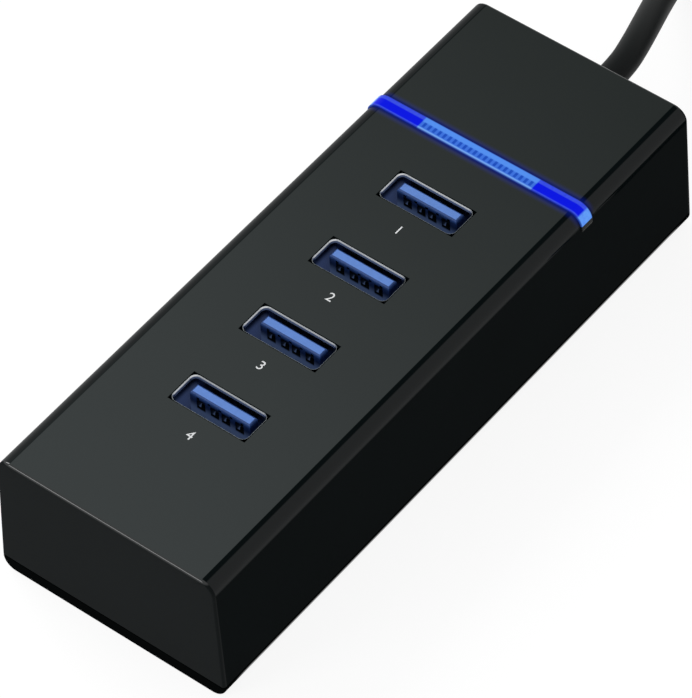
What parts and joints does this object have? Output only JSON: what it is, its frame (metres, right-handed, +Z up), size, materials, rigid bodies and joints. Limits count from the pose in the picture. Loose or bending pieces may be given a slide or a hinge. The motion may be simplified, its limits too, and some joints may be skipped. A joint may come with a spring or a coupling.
{
  "type": "usb hub",
  "caption": "Long glossy black desktop USB hub with upright ports in its roof, a blue light bar across the top and a captive cord with a plug.",
  "frame": {"origin": "middle of the hub's flat underside, on the surface it rests on", "axes": "+Y along the hub towards the end the cord leaves, +Z up out of the port mouths, +X to the right seen from the plain end"},
  "size_m": [0.0692, 0.2089, 0.0246],
  "materials": {
    "housing_black": "high-gloss moulded ABS",
    "base_black": "fine satin moulded ABS",
    "pipe_blue": "clear acrylic lit blue from below, glossy",
    "port_steel": "nickel-plated sheet steel, bright",
    "port_blue": "blue glass-filled moulding, satin",
    "contact_gold": "gold-plated copper alloy",
    "board_green": "solder-resist green, satin",
    "chip_black": "moulded package, satin",
    "can_metal": "aluminium can, satin",
    "part_tan": "small fired parts, matte",
    "crystal_metal": "lapped metal lid",
    "led_white": "white lamp body, glossy",
    "solder_tin": "bright solder",
    "screw_steel": "zinc-plated steel",
    "wire_insulation": "thin coloured wire insulation",
    "cord_black": "soft black jacket, satin",
    "grip_black": "soft moulded grip, satin",
    "tie_black": "woven hook-and-loop strap",
    "label_white": "white screen print of plain port numbers"
  },
  "bodies": {
    "root": {"upper_shell": "housing_black", "bottom_cover": "base_black", "light_pipe": "pipe_blue", "circuit_board": "board_green", "board_screws": "screw_steel", "hub_controller": "chip_black", "crystal": "crystal_metal", "voltage_regulator": "chip_black", "resettable_fuse": "chip_black", "can_capacitors": "can_metal", "ceramic_capacitors": "part_tan", "resistors": "chip_black", "led_left": "led_white", "led_right": "led_white", "strain_relief": "grip_black", "cord_inner_end": "cord_black", "cord_wires": "wire_insulation", "solder_joints": "solder_tin", "cord_lead": "cord_black", "cord_coil": "cord_black", "cord_tail": "cord_black", "cord_tie": "tie_black", "plug_grip": "grip_black", "plug_shell": "port_steel", "plug_insulator": "port_blue", "plug_contacts": "contact_gold", "port_1_shell": "port_steel", "port_1_insulator": "port_blue", "port_1_contacts": "contact_gold", "port_2_shell": "port_steel", "port_2_insulator": "port_blue", "port_2_contacts": "contact_gold", "port_3_shell": "port_steel", "port_3_insulator": "port_blue", "port_3_contacts": "contact_gold", "port_4_shell": "port_steel", "port_4_insulator": "port_blue", "port_4_contacts": "contact_gold"}
  },
  "joints": []
}
